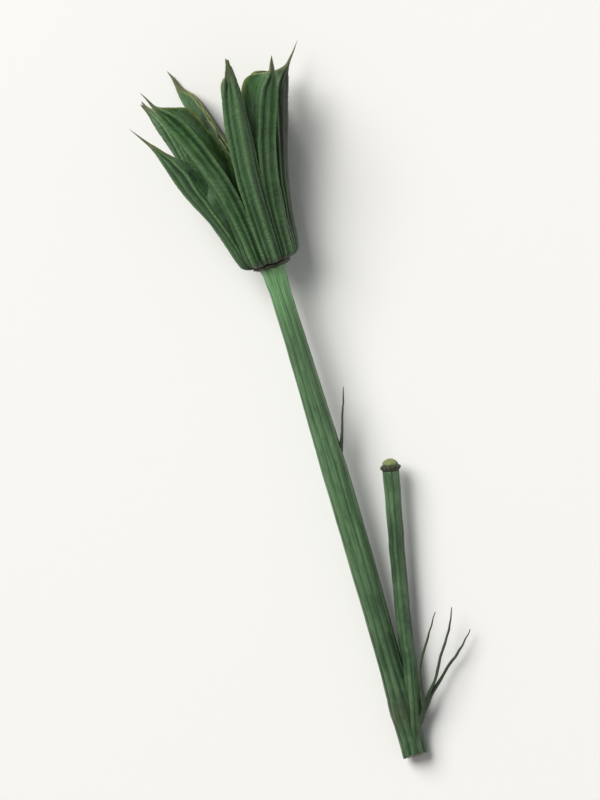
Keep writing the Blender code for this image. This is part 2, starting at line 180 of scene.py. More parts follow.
def layers(x, y, z, seed=0, count=3):
    total, size = 0.0, 1.0
    for n in range(count):
        total = total + size * noise(x * 2**n, y * 2**n, z * 2**n, seed + 17 * n)
        size *= 0.5
    return total / 1.5


# ---------------------------------------------------------------------------------------------
# Meshes.
# ---------------------------------------------------------------------------------------------
TURN = Matrix(((0, 0, 1), (0, -1, 0), (1, 0, 0))).to_4x4()
TO_ROW = (
    Matrix.Translation(Vector(SET_DOWN) * 0.001)
    @ Matrix.Rotation(-math.radians(PITCH), 4, "Y")
    @ Matrix.Rotation(math.radians(ROLL), 4, "X")
    @ TURN
    @ Matrix.Scale(0.001, 4)
)
AXES = np.array(TO_ROW)[:3, :3]
ORIGIN = np.array(TO_ROW)[:3, 3]


def to_row(points):
    return points @ AXES.T + ORIGIN


class Sheet:
    """Grids of points in the pod frame that make one mesh, with a few numbers kept for each point."""

    def __init__(self):
        self.points, self.faces, self.values, self.count = [], [], {}, 0

    def grid(self, points, values, close_rings=True, caps=(True, True), flip=False):
        """points is rings x points x 3. values holds arrays of the same rings x points."""
        n, m = points.shape[:2]
        base = self.count
        self.points.append(points.reshape(-1, 3))
        index = base + np.arange(n * m).reshape(n, m)
        a, b = index[:-1], index[1:]
        if close_rings:
            quads = xyz(a, np.roll(a, -1, 1), np.roll(b, -1, 1), b)
        else:
            quads = xyz(a[:, :-1], a[:, 1:], b[:, 1:], b[:, :-1])
        quads = quads.reshape(-1, 4)
        if flip:
            quads = quads[:, ::-1]
        self.faces += quads.tolist()
        self.count += n * m
        given = {k: np.broadcast_to(v, (n, m) + np.shape(v)[2:]).reshape(-1, *np.shape(v)[2:]) for k, v in values.items()}
        ends = []
        for ring, wanted, turned in ((0, caps[0], True), (n - 1, caps[1], False)):
            if not (wanted and close_rings):
                continue
            centre = points[ring].mean(0)
            self.points.append(centre[None])
            hub = self.count
            self.count += 1
            ends.append(ring)
            for i in range(m):
                p, q = int(index[ring, i]), int(index[ring, (i + 1) % m])
                face = [q, p, hub] if turned else [p, q, hub]
                self.faces.append(face[::-1] if flip else face)
        for k, v in given.items():
            parts = [v] + [v.reshape(n, m, *v.shape[1:])[ring].mean(0)[None] for ring in ends]
            self.values.setdefault(k, []).extend(parts)

    def build(self, name, material, node):
        mesh = bpy.data.meshes.new(name)
        points = to_row(np.concatenate(self.points))
        points[:, 2] = np.maximum(points[:, 2], 0.00002)  # nothing reaches below the surface it lies on
        mesh.from_pydata(points.tolist(), [], self.faces)
        for key, parts in self.values.items():
            value = np.concatenate(parts)
            if value.ndim == 1:
                mesh.attributes.new(key, "FLOAT", "POINT").data.foreach_set("value", value.astype(np.float32))
            else:
                mesh.attributes.new(key, "FLOAT_VECTOR", "POINT").data.foreach_set("vector", value.astype(np.float32).ravel())
        mesh.update()
        mesh.validate()
        mesh.materials.append(material)
        mesh.shade_smooth()
        obj = bpy.data.objects.new(name, mesh)
        bpy.context.scene.collection.objects.link(obj)
        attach(obj, "root")
        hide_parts(node)
        return obj


def placed(shape, s, rho, side, z):
    """Points of the upright follicle, after it bulges, swings round and grows to its own length."""
    beak = np.maximum(0.0, (s - 0.9) / 0.1) ** 1.5
    rho = rho + (shape["out"] + 0.5 * shape["tip"]) * beak
    side = side + shape["side"] * beak
    rho = rho + shape["belly"] * np.sin(math.pi * np.clip((z - 1) / 24, 0, 1.3))
    upper = z > 2
    swing = np.where(upper, shape["swing"] * 1.15 * ease(z, 9, 32), 0.0)
    z = np.where(upper, 2 + (z - 2) * (1 + (shape["long"] - 1) * ease(z, 2, 20)) + shape["tip"] * beak, z)
    a = np.radians(shape["az"] + swing)
    return xyz(rho * np.cos(a) - side * np.sin(a), rho * np.sin(a) + side * np.cos(a), z)


def make_follicle(name, shape, seed, material):
    stations, outside, inside = 236, 50, 15
    s0 = np.linspace(0, 1, stations)
    s = np.where(s0 > 0.9, 0.9 + (s0 - 0.9) * (shape["end"] - 0.9) / 0.1, s0)
    back, seam = smooth(BACK, s), smooth(SEAM, s)
    b, nerve, keel, gap = (smooth(t, s) for t in (HALF_WIDTH, NERVE_DEPTH, KEEL, LIP_GAP))
    if name == "follicle_7":
        b = b * (1 - 0.20 * ease(s, 0.45, 0.6) * (1 - ease(s, 0.8, 0.9)))
    blunt = shape["blunt"] * np.sin(math.pi * np.clip((s - 0.885) / 0.115, 0, 1)) ** 0.8
    b, nerve = b + 0.42 * blunt, nerve + 0.30 * blunt
    seam = seam + np.outer(blunt, [-0.75, -0.05])
    seam[:, 1] += shape["rim"] * ease(s, 0.70, 0.85) * (1 - ease(s, 0.87, 0.935))
    depth = np.hypot(*(seam - back).T)
    into = (seam - back) / depth[:, None]
    along = np.concatenate([[0], np.cumsum(np.hypot(*np.diff(back, axis=0).T))])
    nerve, keel = np.minimum(nerve, 0.45 * depth), np.minimum(keel, 0.7 * b)
    gap = gap * (1 + (shape["open"] - 1) * ease(s, 0.5, 0.7))
    gap = gap * (1 + 0.35 * noise(along / 2.6, seed, 3.0, 5)) * (1 + 0.0 * s)
    wall = np.minimum(0.27, 0.42 * b)
    lip = np.minimum(gap + 0.7 * wall, 0.9 * b)
    middle = keel + (b - keel) * 0.52
    corner = [(0 * b, 0 * b), (keel, 0.05 * nerve), (middle, 0.40 * nerve), (b, nerve)]
    for t in (0.3, 0.65, 1.0):
        width = lip + (b - lip) * (1 - t) ** 1.05 - 0.08 * b * math.sin(math.pi * t) ** 2
        corner.append((np.maximum(width, lip), nerve + (depth - nerve) * t))
    knots = np.array([0, 0.12, 0.27, 0.42, 0.60, 0.80, 1.0])
    table = np.array([np.concatenate([x, y]) for x, y in corner])
    azimuths = [other["az"] for other in SHAPES.values()]
    swings = [other["swing"] for other in SHAPES.values()]
    growths = [other["long"] - 1 for other in SHAPES.values()]
    me, count = azimuths.index(shape["az"]), len(azimuths)

    def half(u, sign):
        """x, y, how far it is grown together, and the arc length, each stations x len(u)."""
        shaped = smooth(np.column_stack([knots, table]), u)
        x, y = shaped[:, :stations].T.copy(), shaped[:, stations:].T.copy()
        other = (me + int(sign)) % count
        between = (sign * (azimuths[other] - azimuths[me])) % 360
        z = back[:, 1:2] + into[:, 1:2] * y
        real = np.where(z > 2, 2 + (z - 2) * (1 + growths[me] * ease(z, 2, 20)), z)
        beside_it = np.where(real > 2, 2 + (real - 2) / (1 + growths[other] * ease(real, 2, 20)), real)
        half_angle = between / 2 + sign * 1.15 * (swings[other] * ease(beside_it, 9, 32) - swings[me] * ease(z, 9, 32)) / 2
        rho = back[:, :1] + into[:, :1] * y + shape["belly"] * np.sin(math.pi * np.clip((z - 1) / 24, 0, 1.3))
        plane = rho * np.tan(np.radians(half_angle))
        nerve_rho = (back[:, 0] + into[:, 0] * nerve)[:, None]
        ragged = 0.22 * noise(z / 1.7, sign, seed, 8)
        join = (nerve_rho - 0.80 + ragged) * (1 - ease(real, 11.0, 19.5)) + shape["belly"] * 0.8 * (1 - ease(real, 15, 20))
        grown = ease(join - rho, -0.75, 0.55) * (1 - ease(real, 15.0, 19.8))
        free = np.maximum(ease(real, 15, 20), 0)
        limit = np.maximum(plane - 0.035, 0.02)
        x = np.where(x > limit, limit + (x - limit) * free, x)
        x = x * (1 - grown) + (plane + 0.006) * grown
        arc = np.concatenate([np.zeros((stations, 1)), np.cumsum(np.hypot(np.diff(x, axis=1), np.diff(y, axis=1)), axis=1)], 1)
        tx, ty = np.gradient(x, axis=1), np.gradient(y, axis=1)
        size = np.maximum(np.hypot(tx, ty), 1e-9)
        nx, ny = ty / size, -tx / size
        nx[:, 0], ny[:, 0] = 0.0, -1.0
        return x, y, grown, arc, nx, ny, real

    long = along[:, None]
    body = (1 - ease(s, 0.88, 0.94))[:, None]
    foot = ease(s, 0.02, 0.12)[:, None]
    sides = {}
    for sign in (-1.0, 1.0):
        u = np.linspace(0, 1, outside)
        x, y, grown, arc, nx, ny, z = half(u, sign)
        a_nerve = np.array([np.interp(0.42, u, row) for row in arc])[:, None]
        a_middle = np.array([np.interp(0.25, u, row) for row in arc])[:, None]
        a_end = arc[:, -1:]
        q = sign * arc
        # Nerves: the keel, one along each edge of the back, and finer ones between them and on the flanks.
        wander = 0.09 * noise(long / 3.5, sign, seed, 21)
        n_keel = np.exp(-((arc / 0.27) ** 2))
        n_side = np.exp(-(((arc - a_nerve + wander) / 0.23) ** 2))
        n_fine = np.exp(-(((arc - a_middle - wander) / 0.12) ** 2))
        n_flank = np.exp(-(((arc - a_nerve - 0.72 + 2 * wander) / 0.13) ** 2)) + 0.7 * np.exp(-(((arc - a_nerve - 1.5 - 2 * wander) / 0.13) ** 2))
        rim = np.exp(-(((arc - a_end) / 0.16) ** 2))
        on_back = 1 - ease(arc, a_nerve - 0.05, a_nerve + 0.55)
        on_flank = ease(arc, a_nerve + 0.15, a_nerve + 0.7)
        open_here = 1 - grown
        uneven = 1 + 0.35 * noise(long / 4.0, q / 2.0, seed, 22)
        # Wrinkles across the back, and slanting veins on the flanks.
        phase = long + 0.35 * arc + 0.75 * noise(long / 1.5, q / 1.4, seed, 31)
        wrinkle = np.abs(np.sin(math.pi * phase / 1.05)) ** 0.6 * (0.55 + 0.45 * noise(long / 2.1, q / 0.9, seed, 32))
        slant = long - 0.75 * (arc - a_nerve) + 0.9 * noise(long / 3.0, q / 2.2, seed, 33)
        vein = (1 - np.abs(np.sin(math.pi * slant / 1.55))) ** 3 * (0.6 + 0.4 * noise(long / 2.4, q / 1.6, seed, 34))
        slow = layers(long / 5.2, q / 3.4, seed, 41, 2)
        quick = layers(long / 1.5, q / 0.9, seed, 42, 2)
        sunk = noise(long / 4.5, sign * 3.1, seed, 43)
        crease = (1 - np.abs(noise(long / 8.0, q / 0.95, seed, 45))) ** 7
        slim = np.clip(b / 1.0, 0, 1)[:, None] ** 1.6
        relief = (0.28 * n_keel + 0.26 * n_side) * foot * uneven * slim + 0.07 * n_fine * body + 0.055 * n_flank * body
        relief = relief - (0.25 + 0.08 * sunk) * np.exp(-(((arc - (a_nerve + a_middle) / 2) / 0.23) ** 2)) * body * foot
        relief = relief - 0.12 * np.exp(-(((arc - a_middle * 0.60) / 0.17) ** 2)) * body * foot
        relief = relief + 0.075 * (wrinkle - 0.5) * on_back * body * foot
        relief = relief + 0.070 * vein * on_flank * body
        relief = relief - 0.11 * crease * (0.35 + 0.65 * on_flank) * body * foot
        relief = relief + shape["buckle"] * body * (0.20 * slow * on_flank + 0.07 * slow * on_back + 0.035 * quick)
        relief = relief * (0.10 + 0.90 * open_here)
        # How sunk the skin lies between its nerves; the skin darkens it there as painted shade.
        valley_shade = np.clip(-relief / 0.22, 0, 1)
        tip_rough = (1 - body) * 0.035 * layers(long / 0.6, q / 0.3, seed, 44, 2)
        relief = relief + tip_rough * np.minimum(b[:, None] / 0.4, 1)
        relief = relief + 0.03 * rim * body
        ox, oy = x + relief * nx, y + relief * ny
        ox[:, 0] = 0.0
        ox[:, 1:] = np.maximum(ox[:, 1:], 0.004)
        # The lips are ragged and lean out a little where the follicle stands open.
        lipped = ease(arc, a_end - 1.3, a_end) * ease(s, 0.60, 0.70)[:, None] * body
        ox = ox + lipped * (0.10 + 0.16 * noise(long / 2.3, sign * 2, seed, 51))
        fringe = 0.30 * noise(long / 2.1, sign, seed, 54) + 0.12 * noise(long / 0.75, sign, seed, 52) + 0.06 * noise(long / 0.33, sign, seed, 53)
        oy = oy + fringe * ease(arc, a_end - 0.5, a_end) * body * ease(s, 0.45, 0.6)[:, None]
        deep = ease(np.clip(y - nerve[:, None], 0, 9), 0.0, 0.8)
        sides[sign] = (ox, oy, q, grown, deep)
        values = dict(
            nerve=np.clip((n_keel + n_side) * uneven + 0.55 * n_fine + 0.45 * n_flank + 0.30 * wrinkle * on_back + 0.35 * vein * on_flank - 0.5 * crease, 0, 1) * (0.2 + 0.8 * open_here),
            edge=np.exp(-(((arc - a_end) / 0.42) ** 2)) * ease(s, 0.5, 0.66)[:, None],
            inside=0 * arc,
            # groove_shade: how far down the crease between two follicles a point lies; the skin darkens it there as
            # painted shade
            groove_shade=np.clip(grown + 0.6 * deep * (1 - ease(z, 13, 19)), 0, 1) * (1 - (0.75 if shape["belly"] > 1 else 0.0) * ease(z, 6, 12)),
            flank=on_flank,
            valley_shade=valley_shade,
        )
        ui = np.linspace(0, 1, inside)
        ix, iy, igrown, iarc, inx, iny, iz = half(ui, sign)
        # The inner skin lies a wall's thickness under the outer one, deeper where that one is sunk.
        reach = 3
        padded = np.pad(np.minimum(relief, 0), ((0, 0), (reach, reach)), mode="edge")
        lowest = np.min([padded[:, i:i + outside] for i in range(2 * reach + 1)], axis=0)
        w = wall[:, None] - lowest[:, np.rint(ui * (outside - 1)).astype(int)]
        bx, by = ix - w * inx, iy - w * iny
        bx = np.maximum(bx, np.minimum(0.45 * ix, gap[:, None]))
        bx[:, 0] = 0.0
        bx[:, -1] = np.minimum(gap, 0.6 * ox[:, -1]) + (ox[:, -1] - x[:, -1]) * 0.9
        bx[:, 1:] = np.maximum(bx[:, 1:], 0.003)
        by[:, 0] = np.minimum(w[:, 0], 0.6 * depth)
        bx[:, 1:-1] = np.minimum(bx[:, 1:-1], np.maximum(0.72 * (ix[:, 1:-1] + lowest[:, np.rint(ui[1:-1] * (outside - 1)).astype(int)]), 0.003))
        by[:, -1] = oy[:, -1]
        by = np.minimum(by, np.maximum(oy[:, -1:], by[:, :1] + 0.01))
        sides[sign] += (bx, by, sign * iarc)
        inner = dict(
            nerve=0 * iarc + 0.15, edge=np.exp(-(((iarc - iarc[:, -1:]) / 0.42) ** 2)) * ease(s, 0.5, 0.66)[:, None],
            inside=0 * iarc + 1, groove_shade=0 * iarc, flank=0 * iarc, valley_shade=0 * iarc,
        )
        sides[sign] += (values, inner)

    left, right = sides[-1.0], sides[1.0]
    x = np.concatenate([-left[0][:, ::-1], right[0][:, 1:], right[5][:, ::-1], -left[5][:, 1:]], 1)
    y = np.concatenate([left[1][:, ::-1], right[1][:, 1:], right[6][:, ::-1], left[6][:, 1:]], 1)
    q = np.concatenate([left[2][:, ::-1], right[2][:, 1:], right[7][:, ::-1], left[7][:, 1:]], 1)
    values = {}
    for key in ("nerve", "edge", "inside", "groove_shade", "flank", "valley_shade"):
        values[key] = np.concatenate([left[8][key][:, ::-1], right[8][key][:, 1:], right[9][key][:, ::-1], left[9][key][:, 1:]], 1)
    n, m = x.shape
    twist = np.radians(shape["twist"]) * ease(s, 0.5, 1.0)[:, None]
    mid = 0.45 * depth[:, None]
    across = x * np.cos(twist) - (y - mid) * np.sin(twist)
    y = mid + x * np.sin(twist) + (y - mid) * np.cos(twist)
    rho = back[:, :1] + into[:, :1] * y
    z = back[:, 1:] + into[:, 1:] * y
    if shape["end"] == 1.0:  # the beak ends in a point
        point = np.sqrt(np.clip(1 - np.clip((s0 - 0.965) / 0.035, 0, 1) ** 2, 0, 1))[:, None] * 0.97 + 0.03
        half_way = 0.5 * depth[:, None]
        across, y = across * point, half_way + (y - half_way) * point
        rho = back[:, :1] + into[:, :1] * y
        z = back[:, 1:] + into[:, 1:] * y
    # The whole blade is a little crooked, and the beak is wiry.
    across = across + 0.22 * noise(s * 5, seed, 0.5, 61)[:, None] * ease(s, 0.45, 0.7)[:, None]
    wiry = ease(s, 0.92, 1.0)[:, None]
    across = across + wiry * 0.42 * noise(s * 34, seed, 1.5, 62)[:, None]
    rho = rho + wiry * 0.34 * noise(s * 30, seed, 2.5, 63)[:, None]
    if shape["end"] < 1:
        # A broken beak: torn across, with a notch between two prongs.
        torn = ease(s0, 0.955, 1.0)[:, None]
        prong = np.cos(2 * np.arctan2(x, y - 0.4 * depth[:, None])) * 0.55 + 0.3 * noise(x * 5, y * 5, seed, 64)
        z = z + torn * prong
        rho = rho + torn * 0.4 * prong
    points = placed(shape, s[:, None], rho, across, z)
    s_all = np.broadcast_to(s[:, None], (n, m))
    values["beak"] = ease(s_all, 0.885, 0.95)
    # foot: 1 at the follicle's foot; the skin paints shade there.
    values["foot"] = 1 - ease(s_all, 0.045, 0.12)
    # low: 1 near the foot, fading out 21 mm up; the skin darkens it, partly deeper dye and partly painted shade.
    values["low"] = 1 - ease(points[..., 2], 5.0, 21.0)
    values["fibre"] = xyz(q, np.broadcast_to(along[:, None], (n, m)), np.full((n, m), seed * 7.0))
    values["bloom_and_sheen"] = np.clip(shape["bloom_and_sheen"] + 0.45 * layers(along[:, None] / 6.0, q / 2.5, seed, 71, 2), 0, 1)
    values["brown_and_shade"] = np.clip(shape["brown_and_shade"] + 0.55 * layers(along[:, None] / 7.0, q / 1.8, seed, 72, 3) - 0.12, 0, 1)
    if name == "follicle_7":  # its lips are shut, and one of its flanks has dried brown
        values["edge"] = 0.7 * values["edge"]
        values["brown_and_shade"] = np.clip(values["brown_and_shade"] + 0.65 * ease(-q, 0.2, 1.4) * ease(s_all, 0.35, 0.6), 0, 1)
    if name == "follicle_5":  # its back, the strip turned away from the light, is painted purple-brown: painted shade
        values["brown_and_shade"] = np.clip(values["brown_and_shade"] + 0.75 * np.exp(-((q / 1.5) ** 2)) * ease(s_all, 0.2, 0.5), 0, 1)
    sheet = Sheet()
    sheet.grid(points, values)
    return sheet.build(name + "_skin", material, name)


def stem_axis(z):
    z = np.asarray(z, float)
    t = np.clip(-z / 80.0, 0, 1.1)
    return xyz(0.4 * np.sin(math.pi * t), -1.65 * t - 2.05 * t**2, z)


def beside(z, side, front):
    f, s = math.radians(FRONT), math.radians(FRONT + 90)
    return (side * math.cos(s) + front * math.cos(f), side * math.sin(s) + front * math.sin(f), z)


def ribbed(theta, z, ribs, height, seed):
    """Height of long ribs over the round of a stem. They wander a little, swell and fade."""
    bend = 0.05 * noise(z / 14.0, np.cos(theta), np.sin(theta), 81) + 0.0022 * z
    wave = np.abs(np.cos((theta + bend) * ribs / 2))
    strength = 1 + 0.25 * noise(z / 18.0, np.cos(theta) * 1.7, np.sin(theta) * 1.7, seed)
    fine = noise(z / 12.0, np.cos(theta) * 8.0, np.sin(theta) * 8.0, seed + 3)
    small = np.abs(np.cos((theta + bend) * ribs + 0.8))
    return height * (1.6 * wave**0.8 + 0.5 * small - 1.3) * strength + 0.30 * height * fine, wave


def make_stem(material):
    count, sides = 420, 120
    heights = np.linspace(STEM_CUT, STEM_TOP, count)
    theta = np.linspace(0, 2 * math.pi, sides, endpoint=False)[None]
    z = heights[:, None]
    centre, radius = stem_axis(heights), smooth(STEM_RADIUS, heights)[:, None]
    relief, wave = ribbed(theta, z, 10, 0.125, 5)
    c, s = np.cos(theta), np.sin(theta)
    relief = relief * (1 - 0.35 * np.exp(-(((z + 75) / 1.6) ** 2))) * (1 - 0.55 * ease(z, -5.0, -1.6))
    # The node: a swollen, slightly lumpy ring, with a crease above it.
    lumps = noise(c * 2.2, s * 2.2, z / 1.8, 6)
    node = np.exp(-(((z + 75.2 + 0.5 * c) / 1.25) ** 2))
    relief = relief + node * (0.07 + 0.10 * lumps) - 0.04 * np.exp(-(((z + 72.9 + 0.3 * s) / 0.55) ** 2))
    relief = relief + 0.05 * layers(c * 1.6, s * 1.6, z / 4.5, 7, 2) + 0.018 * noise(c * 7, s * 7, z / 0.8, 8)
    # Small scars and bruises.
    for at, way, size in ((-12.5, 0.6, 0.5), (-27.2, -0.9, 0.6), (-44.0, 0.2, 0.7), (-57.5, 1.1, 0.5), (-64.0, -0.6, 0.6), (-36.5, 2.6, 0.7)):
        off = np.angle(np.exp(1j * (theta - way)))
        spot = np.exp(-(((z - at) / (1.8 * size)) ** 2) - (off * radius / (0.5 * size)) ** 2)
        relief = relief - 0.10 * spot
    r = radius + relief - 0.02
    wobble = 0.10 * xyz(noise(heights / 13, 1.5, 0, 9), noise(heights / 13, 7.5, 0, 10)) * ease(-heights, 3, 14)[:, None]
    x = centre[:, :1] + wobble[:, :1] + r * c
    y = centre[:, 1:2] + wobble[:, 1:] + r * s
    # Cut slantwise by a blade, and frayed a little.
    low = 1 - ease(z, STEM_CUT, STEM_CUT + 3.0)
    cut = 0.34 * c + 0.10 * noise(c * 5, s * 5, 0, 11)
    zz = z + low * (cut + 0.35)
    points = xyz(x, y, zz + 0 * x)
    across = theta * 1.9 * np.ones_like(z)
    values = dict(
        nerve=np.clip(wave**1.5 + 0 * z, 0, 1), edge=0 * x, cut=0 * x,
        joint=np.exp(-(((z + 75.2) / 2.4) ** 2)) + 0 * x,
        # top: how much paler the stem is painted towards its top, most just under the pod: a painted highlight.
        top=0.26 * ease(z, -74, -38) + 0.74 * ease(z, -14, -2) + 0 * x,
        fibre=xyz(across, z + 0 * x, c * 1.9),
        round=xyz(c * 2.0 + 0 * z, s * 2.0 + 0 * z, z + 0 * x),
    )
    # The cut face: rind, a ring of fibres and a dished, spongy pith.
    shares = np.array([1.0, 0.985, 0.95, 0.90, 0.84, 0.78, 0.72, 0.64, 0.55, 0.45, 0.35, 0.25, 0.16, 0.08, 0.02])
    rim, middle = points[0], points[0].mean(0)
    rows = []
    for share in shares:
        at = middle + (rim - middle) * share
        rows.append(at)
    face = np.array(rows)
    k = shares[:, None]
    spongy = noise(face[..., 0] * 3.1, face[..., 1] * 3.1, 0, 12)
    fibres = noise(c * 11, s * 11, 3, 13)
    lift = 0.10 * fibres * np.exp(-(((k - 0.84) / 0.08) ** 2)) - 0.55 * ease(1 - k, 0.30, 0.62) + 0.16 * spongy * ease(1 - k, 0.2, 0.5)
    face[..., 2] += -lift - 0.06 * np.exp(-(((k - 0.9) / 0.06) ** 2))
    flat = dict(
        nerve=0 * face[..., 0], edge=0 * face[..., 0], cut=1 - k * 0.999 + 0 * face[..., 0],
        joint=0 * face[..., 0], top=0 * face[..., 0],
        fibre=xyz(face[..., 0] * 2, face[..., 1] * 2, 0 * k + spongy),
        round=xyz(face[..., 0], face[..., 1], face[..., 2]),
    )
    # One skin: from the middle of the cut out to its rim, and on up the side.
    sheet = Sheet()
    joined = {key: np.concatenate([flat[key][::-1][:-1], values[key]]) for key in values}
    sheet.grid(np.concatenate([face[::-1][:-1], points]), joined)
    return sheet.build("stem_ribbed", material, "stem")


def tube_rings(path, count, sides, seed, ribs=0, height=0.0, flat=1.0, rough=0.05, wander=0.0):
    """Rings along a path of (height, side, front, radius), with the numbers that the materials read."""
    u = np.linspace(0, 1, count)
    rows = smooth([(t, *beside(*row[:3]), row[3]) for t, row in zip(np.linspace(0, 1, len(path)), path)], u)
    centres, radii = rows[:, :3].copy(), rows[:, 3]
    ahead = np.gradient(centres, axis=0)
    ahead /= np.linalg.norm(ahead, axis=1)[:, None]
    run = np.concatenate([[0], np.cumsum(np.linalg.norm(np.diff(centres, axis=0), axis=1))])
    bends = np.stack([noise(run / 3.1, k * 5.5, seed, 91) + 0.4 * noise(run / 1.1, k * 5.5, seed, 92) for k in range(3)], -1)
    centres += wander * bends * ease(run, 0.8, 3.5)[:, None]
    theta = np.linspace(0, 2 * math.pi, sides, endpoint=False)
    points = np.zeros((count, sides, 3))
    across = np.array([1.0, 0, 0])
    c, s = np.cos(theta), np.sin(theta)
    for i in range(count):
        across = across - ahead[i] * (across @ ahead[i])
        across /= np.linalg.norm(across)
        third = np.cross(ahead[i], across)
        r = radii[i] * (1 + rough * noise(c * 1.5, s * 1.5, run[i] / 1.2 + seed, 93))
        if ribs:
            r = r + ribbed(theta, run[i], ribs, height, seed)[0]
        points[i] = centres[i] + (r * c)[:, None] * across + (r * flat * s)[:, None] * third
    wave = np.abs(np.cos(theta * ribs / 2)) ** 1.1 if ribs else 0.5 + 0.5 * np.cos(theta * 3)
    one = np.ones((count, sides))
    values = dict(
        nerve=wave[None] * one, edge=0 * one, cut=0 * one, joint=0 * one, top=0 * one,
        along=(run / run[-1])[:, None] * one,
        fibre=xyz(theta[None] * radii.mean() * one, run[:, None] * one, c[None] * radii.mean() * one + seed * 9),
        round=xyz(c[None] * one, s[None] * one, run[:, None] * one + seed * 9),
    )
    return points, values, centres, ahead, run


def make_side_stalk(material):
    points, values, *_ = tube_rings(SIDE_STALK, 210, 84, 14, ribs=8, height=0.055, rough=0.03, wander=0.05)
    rise = values["along"]
    values["joint"] = 0.5 * (1 - ease(rise, 0.05, 0.26))
    # Its upper end is painted a little paler too: a painted highlight.
    values["top"] = 0.18 * ease(rise, 0.75, 1.0)
    del values["along"]
    sheet = Sheet()
    sheet.grid(points, values)
    return sheet.build("side_stalk_ribbed", material, "side_stalk")


def make_knob(material):
    """The knob that the lost pod sat on: a dark scarred collar, and a low dome with a point."""
    end, before = Vector(beside(-38.4, 7.15, 0.0)), Vector(beside(*SIDE_STALK[-2][:3]))
    forward = (end - before).normalized()
    profile = np.array([(-0.55, 1.20), (-0.10, 1.30), (0.16, 1.33), (0.34, 1.44), (0.52, 1.60), (0.72, 1.66), (0.92, 1.60), (1.06, 1.42), (1.14, 1.26), (1.26, 1.22), (1.48, 1.18), (1.72, 1.02), (1.94, 0.72), (2.08, 0.38), (2.14, 0.06)])
    rows = smooth(np.column_stack([np.linspace(0, 1, len(profile)), profile]), np.linspace(0, 1, 110))
    theta = np.linspace(0, 2 * math.pi, 96, endpoint=False)[None]
    c, s = np.cos(theta), np.sin(theta)
    h, r = rows[:, :1], rows[:, 1:]
    collar = np.exp(-(((h - 0.72) / 0.30) ** 2))
    scars = np.abs(np.sin(theta * 6.5 + 0.8 * noise(c, s, 2, 15)))
    relief = collar * (0.10 * scars - 0.08 + 0.10 * noise(c * 2.5, s * 2.5, h * 3, 16))
    dome = ease(h, 1.1, 1.3)
    relief = relief + dome * (0.05 * np.cos(theta * 8) * r / 1.2 + 0.05 * noise(c * 2, s * 2, h * 2.5, 17)) + 0.02 * noise(c * 6, s * 6, h * 6, 18)
    rr = np.maximum(r + relief * np.minimum(r, 1), 0.01)
    x, y, z = rr * c, rr * s, h + 0.05 * noise(c * 2, s * 2, h, 19)
    frame_matrix = np.array((Matrix.Translation(end + forward * 0.08) @ forward.to_track_quat("Z", "Y").to_matrix().to_4x4()))
    local = xyz(x, y, z + 0 * x)
    points = local @ frame_matrix[:3, :3].T + frame_matrix[:3, 3]
    sheet = Sheet()
    sheet.grid(points, dict(
        collar=np.clip(collar + 0 * x, 0, 1), dome=dome + 0 * x, scar=collar * (1 - scars),
        fibre=xyz(theta * 1.4 + 0 * z, z + 0 * x, c + 0 * z), round=local,
    ))
    return sheet.build("side_receptacle_scarred", material, "side_receptacle")


